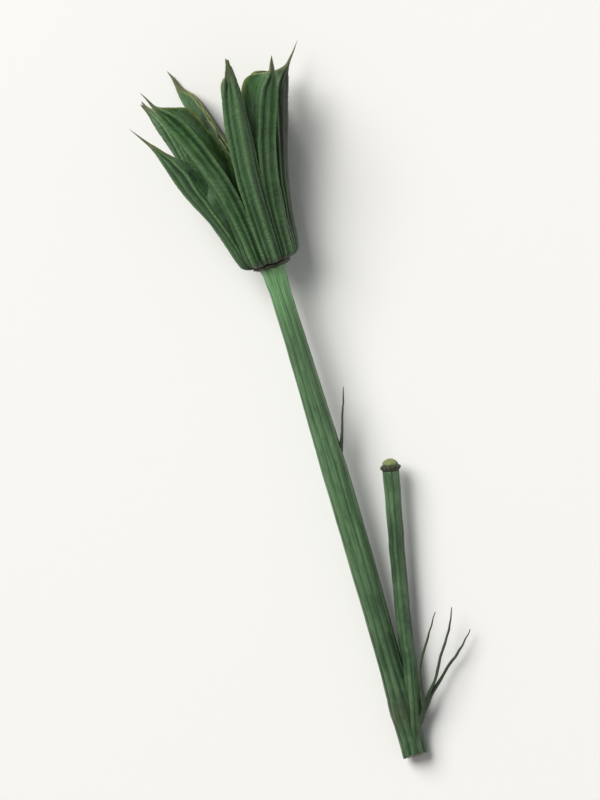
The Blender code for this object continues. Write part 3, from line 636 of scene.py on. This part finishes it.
def make_receptacle(material):
    """What the pod sits on: the stem's end flares to the follicles' feet, with scars and torn stubs round it."""
    profile = np.array([(-2.60, 1.30), (-2.20, 1.55), (-1.80, 1.80), (-1.52, 1.96), (-1.34, 2.14), (-1.20, 2.42), (-1.08, 2.76), (-0.96, 3.00), (-0.84, 3.12), (-0.72, 3.12), (-0.62, 2.94), (-0.52, 2.50), (-0.44, 1.8), (-0.38, 0.9), (-0.36, 0.1)])
    rows = smooth(np.column_stack([np.linspace(0, 1, len(profile)), profile]), np.linspace(0, 1, 110))
    theta = np.linspace(0, 2 * math.pi, 168, endpoint=False)[None]
    c, s = np.cos(theta), np.sin(theta)
    h, r = rows[:, :1], rows[:, 1:]
    band = np.exp(-(((h + 0.86) / 0.24) ** 2))
    scars = np.abs(np.sin(theta * 8 + 1.6 * noise(c, s, 5, 25))) * (0.6 + 0.4 * noise(c * 3, s * 3, h * 3, 26))
    relief = band * (0.16 * scars - 0.12) + 0.06 * noise(c * 2.4, s * 2.4, h * 1.8, 27) * ease(h, -2.6, -1.4)
    relief = relief + 0.025 * noise(c * 7, s * 7, h * 6, 28) + ribbed(theta, h, 10, 0.07, 5)[0] * (1 - ease(h, -2.4, -1.2))
    rr = np.maximum(r + relief * np.minimum(r, 1), 0.01)
    points = xyz(rr * c, rr * s, h + 0.04 * noise(c * 3, s * 3, h, 29) + 0 * rr)
    sheet = Sheet()
    sheet.grid(points, dict(
        # The dark collar just under the follicles' feet is partly torn remnants, partly painted shade under the pod.
        collar=ease(h, -1.40, -1.1) + 0 * rr, dome=0 * rr, scar=band * (1 - scars), stub=0 * rr,
        fibre=xyz(theta * 2.3 + 0 * h, h + 0 * rr, c + 0 * h), round=points,
    ))
    random = np.random.default_rng(11)
    for k in range(11):
        way = 2 * math.pi * (k + random.uniform(-0.4, 0.4)) / 11
        length, width = random.uniform(0.16, 0.36), random.uniform(0.26, 0.46)
        lean = random.uniform(-0.5, 0.9)
        u = np.linspace(0, 1, 9)
        ring = np.linspace(0, 2 * math.pi, 10, endpoint=False)
        low = random.uniform(-1.1, -0.9)
        start = float(np.interp(low, profile[:, 0], profile[:, 1])) - 0.08
        base = np.array([start * math.cos(way), start * math.sin(way), low])
        out = np.array([math.cos(way), math.sin(way), -0.75 + lean * 0.4])
        out /= np.linalg.norm(out)
        round_way = np.array([-math.sin(way), math.cos(way), 0.0])
        third = np.cross(out, round_way)
        rows = []
        for t in u:
            wide, thin = width * (1 - 0.55 * t**2.2), 0.08 * (1 - 0.6 * t)
            curl = third * (0.35 * length * t**2 * random.uniform(0.7, 1.3)) * (1 if k % 2 else -1)
            middle = base + out * (length * t) + curl
            rows.append(middle + np.outer(wide * np.cos(ring), round_way) + np.outer(thin * np.sin(ring), third))
        rows = np.array(rows)
        shade = np.ones(rows.shape[:2])
        sheet.grid(rows, dict(
            collar=shade, dome=0 * shade, scar=0 * shade, stub=shade,
            fibre=xyz(np.cos(ring)[None] * shade, u[:, None] * shade, shade * k), round=rows,
        ))
    return sheet.build("receptacle_scarred", material, "receptacle")


def make_leaf(name, paths, node, material, seeds):
    sheet = Sheet()
    for path, seed in zip(paths, seeds):
        points, values, *_ = tube_rings(path, 130, 20, seed, ribs=4, height=0.03, flat=0.68, rough=0.16, wander=0.16)
        for key in ("edge", "cut", "joint", "top"):
            del values[key]
        sheet.grid(points, values)
    return sheet.build(name, material, node)


# ---------------------------------------------------------------------------------------------
# Materials.
# ---------------------------------------------------------------------------------------------
class Tree:
    """A little help for writing node trees."""

    def __init__(self, name):
        self.material = bpy.data.materials.new(name)
        self.material.use_nodes = True
        self.tree = self.material.node_tree
        self.shader = self.tree.nodes["Principled BSDF"]

    def link(self, source, target):
        if isinstance(source, (int, float)):
            target.default_value = source
        elif isinstance(source, tuple):
            target.default_value = (*source, 1.0) if len(source) == 3 and len(target.default_value) == 4 else source
        else:
            self.tree.links.new(source, target)

    def attribute(self, name, vector=False):
        node = self.tree.nodes.new("ShaderNodeAttribute")
        node.attribute_type = "GEOMETRY"
        node.attribute_name = name
        return node.outputs["Vector" if vector else "Fac"]

    def maths(self, kind, a, b=0.0, clamp=False):
        node = self.tree.nodes.new("ShaderNodeMath")
        node.operation, node.use_clamp = kind, clamp
        self.link(a, node.inputs[0])
        self.link(b, node.inputs[1])
        return node.outputs[0]

    def scaled(self, vector, scale):
        node = self.tree.nodes.new("ShaderNodeMapping")
        self.link(vector, node.inputs["Vector"])
        node.inputs["Scale"].default_value = scale
        return node.outputs[0]

    def noise(self, vector, scale=1.0, detail=3.0, rough=0.55, warp=0.0):
        node = self.tree.nodes.new("ShaderNodeTexNoise")
        self.link(vector, node.inputs["Vector"])
        node.inputs["Scale"].default_value = scale
        node.inputs["Detail"].default_value = detail
        node.inputs["Roughness"].default_value = rough
        node.inputs["Distortion"].default_value = warp
        return node.outputs["Fac"]

    def cells(self, vector, scale=1.0):
        node = self.tree.nodes.new("ShaderNodeTexVoronoi")
        node.feature = "DISTANCE_TO_EDGE"
        self.link(vector, node.inputs["Vector"])
        node.inputs["Scale"].default_value = scale
        return node.outputs["Distance"]

    def spread(self, value, low, high, to_low=0.0, to_high=1.0):
        node = self.tree.nodes.new("ShaderNodeMapRange")
        node.interpolation_type = "SMOOTHSTEP"
        self.link(value, node.inputs["Value"])
        for key, number in (("From Min", low), ("From Max", high), ("To Min", to_low), ("To Max", to_high)):
            node.inputs[key].default_value = number
        return node.outputs["Result"]

    def ramp(self, value, stops):
        node = self.tree.nodes.new("ShaderNodeValToRGB")
        self.link(value, node.inputs["Fac"])
        elements = node.color_ramp.elements
        while len(elements) < len(stops):
            elements.new(0.5)
        for element, (at, colour) in zip(elements, stops):
            element.position, element.color = at, (*colour, 1.0)
        return node.outputs["Color"]

    def mix(self, share, a, b, kind="MIX"):
        node = self.tree.nodes.new("ShaderNodeMix")
        node.data_type, node.blend_type = "RGBA", kind
        self.link(share, node.inputs["Factor"])
        colours = [i for i in node.inputs if i.type == "RGBA"]
        self.link(a, colours[0])
        self.link(b, colours[1])
        return [o for o in node.outputs if o.type == "RGBA"][0]

    def bump(self, height, strength, distance, normal=None):
        node = self.tree.nodes.new("ShaderNodeBump")
        self.link(height, node.inputs["Height"])
        node.inputs["Strength"].default_value = strength
        node.inputs["Distance"].default_value = distance
        if normal is not None:
            self.link(normal, node.inputs["Normal"])
        return node.outputs["Normal"]

    def finish(self, colour, roughness, normal, specular=0.5):
        self.link(colour, self.shader.inputs["Base Color"])
        self.link(roughness, self.shader.inputs["Roughness"])
        self.link(normal, self.shader.inputs["Normal"])
        self.shader.inputs["Specular IOR Level"].default_value = specular
        return self.material


def pod_material():
    t = Tree("dyed_follicle_skin")
    fibre = t.attribute("fibre", True)
    nerve, edge, inside, beak, foot = (t.attribute(k) for k in ("nerve", "edge", "inside", "beak", "foot"))
    groove_shade, bloom_and_sheen, brown_and_shade, valley_shade, low = (t.attribute(k) for k in ("groove_shade", "bloom_and_sheen", "brown_and_shade", "valley_shade", "low"))
    streaks = t.noise(t.scaled(fibre, (7.0, 0.35, 1.0)), 1.0, 4.0, 0.6)
    blotch = t.noise(t.scaled(fibre, (0.8, 0.35, 1.0)), 1.0, 4.0, 0.55, 0.4)
    fine = t.noise(t.scaled(fibre, (5.0, 4.0, 1.0)), 1.0, 3.0, 0.6)
    cross = t.noise(t.scaled(fibre, (1.6, 5.5, 1.0)), 1.0, 2.0, 0.5)
    tone = t.maths("ADD", t.maths("MULTIPLY", streaks, 0.45), t.maths("MULTIPLY", blotch, 0.55))
    colour = t.ramp(tone, [(0.34, (0.0075, 0.0350, 0.0060)), (0.46, (0.0185, 0.0740, 0.0145)), (0.56, (0.0360, 0.1170, 0.0260)), (0.70, (0.0780, 0.1800, 0.0490))])
    # A pale, bluish bloom, strongest on follicle_1 and follicle_3: partly a waxy bloom, partly a painted sheen on faces
    # turned to the light.
    bloom_and_sheen_share = t.maths("MULTIPLY", t.spread(t.maths("ADD", bloom_and_sheen, t.maths("MULTIPLY", blotch, 0.5)), 0.45, 1.15), 0.62)
    colour = t.mix(bloom_and_sheen_share, colour, (0.0660, 0.1390, 0.0600))
    # Darker, deeper green towards the foot: partly deeper dye, partly painted shade.
    colour = t.mix(t.maths("MULTIPLY", low, 0.60), colour, (0.0100, 0.0430, 0.0095))
    # Paler nerves, banded across: partly the nerves' own paler tissue, partly a painted highlight along the ridges.
    nerve_tint_and_highlight = t.maths("MULTIPLY", nerve, t.spread(cross, 0.35, 0.65, 0.35, 1.0))
    colour = t.mix(t.maths("MULTIPLY", nerve_tint_and_highlight, 0.68), colour, (0.1450, 0.2650, 0.1020))
    # Pale specks on the nerves: partly scurf, partly painted glints.
    specks = t.noise(t.scaled(fibre, (3.4, 4.6, 1.0)), 1.0, 1.5, 0.5)
    colour = t.mix(t.maths("MULTIPLY", nerve, t.spread(specks, 0.60, 0.70, 0.0, 0.40)), colour, (0.2100, 0.3000, 0.1500))
    colour = t.mix(t.spread(specks, 0.27, 0.36, 0.42, 0.0), colour, (0.0100, 0.0210, 0.0070))
    # Painted shade: the sunk valleys between the nerves are darkened.
    colour = t.mix(t.maths("MULTIPLY", valley_shade, 0.84), colour, (0.0060, 0.0200, 0.0050))
    # Painted shade: the creases where the follicles grow together are darkened nearly to black.
    colour = t.mix(t.maths("MULTIPLY", groove_shade, 0.86), colour, (0.0030, 0.0110, 0.0035))
    # Brown patches: dried brown on most follicles; on follicle_5's back, painted shade.
    colour = t.mix(t.maths("MULTIPLY", t.spread(t.maths("ADD", brown_and_shade, t.maths("MULTIPLY", fine, 0.25)), 0.35, 1.05), 0.75), colour, (0.0260, 0.0200, 0.0170))
    # Painted shade: the follicles' feet, over the receptacle, are darkened purple-brown.
    lower = t.maths("MULTIPLY", foot, t.spread(fine, 0.25, 0.55, 0.55, 1.0))
    colour = t.mix(t.maths("MULTIPLY", lower, 0.85), colour, (0.0200, 0.0125, 0.0130))
    colour = t.mix(t.maths("MULTIPLY", inside, 0.75), colour, (0.0440, 0.0620, 0.0230))
    rim = t.maths("MULTIPLY", edge, t.spread(blotch, 0.3, 0.62, 0.35, 1.0))
    colour = t.mix(t.maths("MULTIPLY", rim, 0.85), colour, (0.2500, 0.2900, 0.0950))
    colour = t.mix(t.maths("MULTIPLY", beak, t.spread(streaks, 0.3, 0.7, 0.45, 0.9)), colour, (0.0750, 0.0760, 0.0360))
    rough = t.spread(t.maths("ADD", t.maths("MULTIPLY", fine, 0.6), t.maths("MULTIPLY", bloom_and_sheen, 0.4)), 0.2, 0.8, 0.30, 0.52)
    rough = t.maths("ADD", rough, t.maths("MULTIPLY", t.maths("ADD", groove_shade, t.maths("MULTIPLY", valley_shade, 0.6)), 0.30), True)
    height = t.maths("ADD", t.maths("MULTIPLY", t.noise(t.scaled(fibre, (9.0, 1.1, 1.0)), 1.0, 3.0, 0.6), 0.6), t.maths("MULTIPLY", t.noise(t.scaled(fibre, (3.0, 9.0, 1.0)), 1.0, 3.0, 0.55), 0.4))
    normal = t.bump(height, 0.55, 0.00012)
    return t.finish(colour, rough, normal, 0.42)


def stem_material():
    t = Tree("dyed_ribbed_stem")
    around = t.attribute("round", True)
    nerve, cut, joint, top = (t.attribute(k) for k in ("nerve", "cut", "joint", "top"))
    streaks = t.noise(t.scaled(around, (4.5, 4.5, 0.16)), 1.0, 4.0, 0.6)
    blotch = t.noise(t.scaled(around, (0.55, 0.55, 0.22)), 1.0, 4.0, 0.55, 0.5)
    fine = t.noise(t.scaled(around, (6.0, 6.0, 1.6)), 1.0, 3.0, 0.6)
    specks = t.noise(t.scaled(around, (2.4, 2.4, 0.9)), 1.0, 2.0, 0.5)
    tone = t.maths("ADD", t.maths("MULTIPLY", streaks, 0.55), t.maths("MULTIPLY", blotch, 0.45))
    colour = t.ramp(tone, [(0.32, (0.0100, 0.0330, 0.0115)), (0.47, (0.0220, 0.0620, 0.0220)), (0.58, (0.0400, 0.0930, 0.0350)), (0.74, (0.0820, 0.1500, 0.0600))])
    colour = t.mix(t.maths("MULTIPLY", nerve, t.spread(blotch, 0.35, 0.65, 0.10, 0.55)), colour, (0.1100, 0.1900, 0.0880))
    # Painted shade: the furrows between the stem's ribs are darkened.
    furrow_shade = t.maths("MULTIPLY", t.spread(nerve, 0.30, 0.02), t.spread(blotch, 0.30, 0.60, 0.85, 0.35))
    colour = t.mix(furrow_shade, colour, (0.0090, 0.0270, 0.0100))
    # Painted highlight: the stem is painted paler and brighter towards its top, most of all just under the pod.
    colour = t.mix(t.maths("MULTIPLY", t.maths("MULTIPLY", top, t.spread(streaks, 0.36, 0.62, 0.40, 1.0)), 0.88), colour, (0.1950, 0.4100, 0.1680))
    colour = t.mix(t.maths("MULTIPLY", joint, t.spread(fine, 0.35, 0.65, 0.10, 0.60)), colour, (0.0420, 0.0400, 0.0180))
    colour = t.mix(t.spread(specks, 0.66, 0.74, 0.0, 0.55), colour, (0.0250, 0.0190, 0.0100))
    pith = t.spread(cut, 0.03, 0.12)
    cream = t.ramp(cut, [(0.0, (0.0700, 0.1000, 0.0400)), (0.12, (0.2400, 0.2600, 0.1200)), (0.24, (0.1400, 0.1500, 0.0620)), (0.36, (0.4200, 0.4000, 0.2500)), (0.80, (0.5200, 0.4900, 0.3500))])
    cream = t.mix(t.spread(fine, 0.4, 0.7, 0.0, 0.6), cream, (0.1900, 0.1600, 0.0850))
    colour = t.mix(pith, colour, cream)
    rough = t.spread(fine, 0.25, 0.75, 0.28, 0.46)
    height = t.maths("ADD", t.maths("MULTIPLY", t.noise(t.scaled(around, (8.0, 8.0, 0.6)), 1.0, 3.0, 0.6), 0.7), t.maths("MULTIPLY", fine, 0.3))
    normal = t.bump(height, 0.60, 0.00014)
    return t.finish(colour, rough, normal, 0.5)


def knob_material(name, dome_colour):
    t = Tree(name)
    around = t.attribute("round", True)
    collar, scar, dome = (t.attribute(k) for k in ("collar", "scar", "dome"))
    blotch = t.noise(t.scaled(around, (1.6, 1.6, 1.6)), 1.0, 4.0, 0.6, 0.4)
    fine = t.noise(t.scaled(around, (7.0, 7.0, 7.0)), 1.0, 3.0, 0.6)
    colour = t.ramp(blotch, [(0.32, (0.0120, 0.0260, 0.0100)), (0.52, (0.0260, 0.0500, 0.0180)), (0.72, (0.0620, 0.0850, 0.0300))])
    colour = t.mix(t.maths("MULTIPLY", dome, t.spread(blotch, 0.3, 0.6, 0.65, 1.0)), colour, dome_colour)
    # Dark collar: on the side knob its own dark ring; on the receptacle partly painted shade under the pod as well.
    colour = t.mix(t.maths("MULTIPLY", collar, t.spread(fine, 0.3, 0.6, 0.45, 0.85)), colour, (0.0210, 0.0170, 0.0110))
    colour = t.mix(t.maths("MULTIPLY", scar, 0.65), colour, (0.0900, 0.0780, 0.0400))
    rough = t.spread(fine, 0.25, 0.75, 0.48, 0.68)
    normal = t.bump(t.maths("ADD", t.maths("MULTIPLY", fine, 0.6), t.maths("MULTIPLY", blotch, 0.4)), 0.6, 0.00014)
    return t.finish(colour, rough, normal, 0.45)


def leaf_material():
    t = Tree("dried_thread_leaf")
    around = t.attribute("round", True)
    along, nerve = t.attribute("along"), t.attribute("nerve")
    blotch = t.noise(t.scaled(around, (0.8, 0.8, 0.45)), 1.0, 3.0, 0.6)
    fine = t.noise(t.scaled(around, (3.0, 3.0, 2.2)), 1.0, 3.0, 0.6)
    colour = t.ramp(t.maths("ADD", t.maths("MULTIPLY", blotch, 0.6), t.maths("MULTIPLY", fine, 0.4)), [(0.34, (0.0100, 0.0260, 0.0100)), (0.50, (0.0240, 0.0500, 0.0190)), (0.66, (0.0560, 0.0850, 0.0330))])
    colour = t.mix(t.maths("MULTIPLY", nerve, 0.35), colour, (0.0700, 0.1000, 0.0480))
    colour = t.mix(t.spread(along, 0.35, 1.0, 0.0, 0.55), colour, (0.0560, 0.0500, 0.0260))
    rough = t.spread(fine, 0.3, 0.7, 0.45, 0.65)
    normal = t.bump(fine, 0.5, 0.0001)
    return t.finish(colour, rough, normal, 0.45)


# ---------------------------------------------------------------------------------------------
# The object.
# ---------------------------------------------------------------------------------------------
skin, rind, thread = pod_material(), stem_material(), leaf_material()
made = []
for number, (node_name, form) in enumerate(SHAPES.items()):
    made.append(make_follicle(node_name, form, number + 1, skin))
made.append(make_stem(rind))
made.append(make_side_stalk(rind))
made.append(make_receptacle(knob_material("scarred_receptacle", (0.0400, 0.0550, 0.0200))))
made.append(make_knob(knob_material("scarred_knob", (0.1900, 0.2350, 0.0800))))
made.append(make_leaf("upper_leaf_thread", (UPPER_LEAF,), "upper_leaf", thread, (31,)))
made.append(make_leaf("lower_leaf_threads", LOWER_LEAF, "lower_leaf", thread, (32, 33, 34)))


# ---------------------------------------------------------------------------------------------
# The floor, the light and the camera.
# ---------------------------------------------------------------------------------------------
def make_floor():
    """A plain floor, flat for 2.4 m all round. Past that it rises gently, like a studio's sweep."""
    mesh = bpy.data.meshes.new("floor")
    turns = 96
    points = [(0.0, 0.0, 0.0)]
    radii = [0.5] + [2.4 + 0.1 * step for step in range(27)]
    for radius in radii:
        for turn in range(turns):
            angle = 2 * math.pi * turn / turns
            points.append((radius * math.cos(angle), radius * math.sin(angle), 0.11 * (radius - 2.4) ** 2 if radius > 2.4 else 0.0))
    faces = [(0, 1 + turn, 1 + (turn + 1) % turns) for turn in range(turns)]
    for ring in range(len(radii) - 1):
        low, high = 1 + ring * turns, 1 + (ring + 1) * turns
        faces += [(low + turn, high + turn, high + (turn + 1) % turns, low + (turn + 1) % turns) for turn in range(turns)]
    mesh.from_pydata(points, [], faces)
    mesh.polygons.foreach_set("use_smooth", [True] * len(faces))
    t = Tree("pale_floor")
    t.shader.inputs["Base Color"].default_value = (0.815, 0.81, 0.795, 1.0)
    t.shader.inputs["Roughness"].default_value = 0.85
    t.shader.inputs["Specular IOR Level"].default_value = 0.15
    mesh.materials.append(t.material)
    floor = bpy.data.objects.new("floor", mesh)
    bpy.context.scene.collection.objects.link(floor)
    return floor


make_floor()

TILT, LEAN = math.radians(12.5), math.radians(18.0)
towards = np.array([0.0, -math.sin(TILT), math.cos(TILT)])
level = np.cross([1.0, 0.0, 0.0], towards)
image_right = math.cos(LEAN) * level - math.sin(LEAN) * np.array([1.0, 0, 0])
image_up = math.sin(LEAN) * level + math.cos(LEAN) * np.array([1.0, 0, 0])

cloud = np.concatenate([np.array([v.co for v in o.data.vertices])[::7] for o in made])
sides, ups = cloud @ image_right, cloud @ image_up
LENS, SENSOR = 420.0, 36.0
target = (
    image_right * (sides.min() + sides.max()) / 2
    + image_up * (ups.min() + ups.max()) / 2
    + towards * float((cloud @ towards).mean())
)
tall = max(ups.max() - ups.min(), (sides.max() - sides.min()) * 800 / 600) * 1.11
distance = tall / 2 / (SENSOR / 2 / LENS)
camera_data = bpy.data.cameras.new("camera")
camera_data.lens, camera_data.sensor_width = LENS, SENSOR
camera_data.clip_start, camera_data.clip_end = 0.01, 50.0
camera = bpy.data.objects.new("camera", camera_data)
bpy.context.scene.collection.objects.link(camera)
camera.matrix_world = Matrix(np.vstack([np.column_stack([image_right, image_up, towards, target + towards * distance]), [0, 0, 0, 1]]).tolist())
bpy.context.scene.camera = camera


def make_lamp(name, kind, right, up, out, size, strength, colour, distance=1.0):
    """A soft lamp that shines on the object. size is metres across, or radians for one that is far off."""
    data = bpy.data.lights.new(name, kind)
    data.energy, data.color = strength, colour
    if kind == "AREA":
        data.shape, data.size = "DISK", size
    else:
        data.angle = size
    lamp = bpy.data.objects.new(name, data)
    bpy.context.scene.collection.objects.link(lamp)
    way = Vector(right * image_right + up * image_up + out * towards).normalized()
    lamp.location = Vector(target) + way * distance
    lamp.rotation_mode = "QUATERNION"
    lamp.rotation_quaternion = way.to_track_quat("Z", "Y")
    return lamp


make_lamp("key", "SUN", -0.92, 0.70, 1.04, 0.72, 2.44, (1.0, 0.985, 0.955))
make_lamp("front", "AREA", -0.50, 0.40, 1.0, 0.45, 3.4, (1.0, 0.99, 0.97))

world = bpy.data.worlds.new("studio")
bpy.context.scene.world = world
world.use_nodes = True
world.node_tree.nodes["Background"].inputs["Color"].default_value = (0.97, 0.985, 1.0, 1.0)
world.node_tree.nodes["Background"].inputs["Strength"].default_value = 0.29
bpy.context.scene.view_settings.view_transform = "Standard"
bpy.context.scene.view_settings.look = "None"
bpy.context.scene.view_settings.exposure = 0.0
bpy.context.scene.view_settings.gamma = 1.0
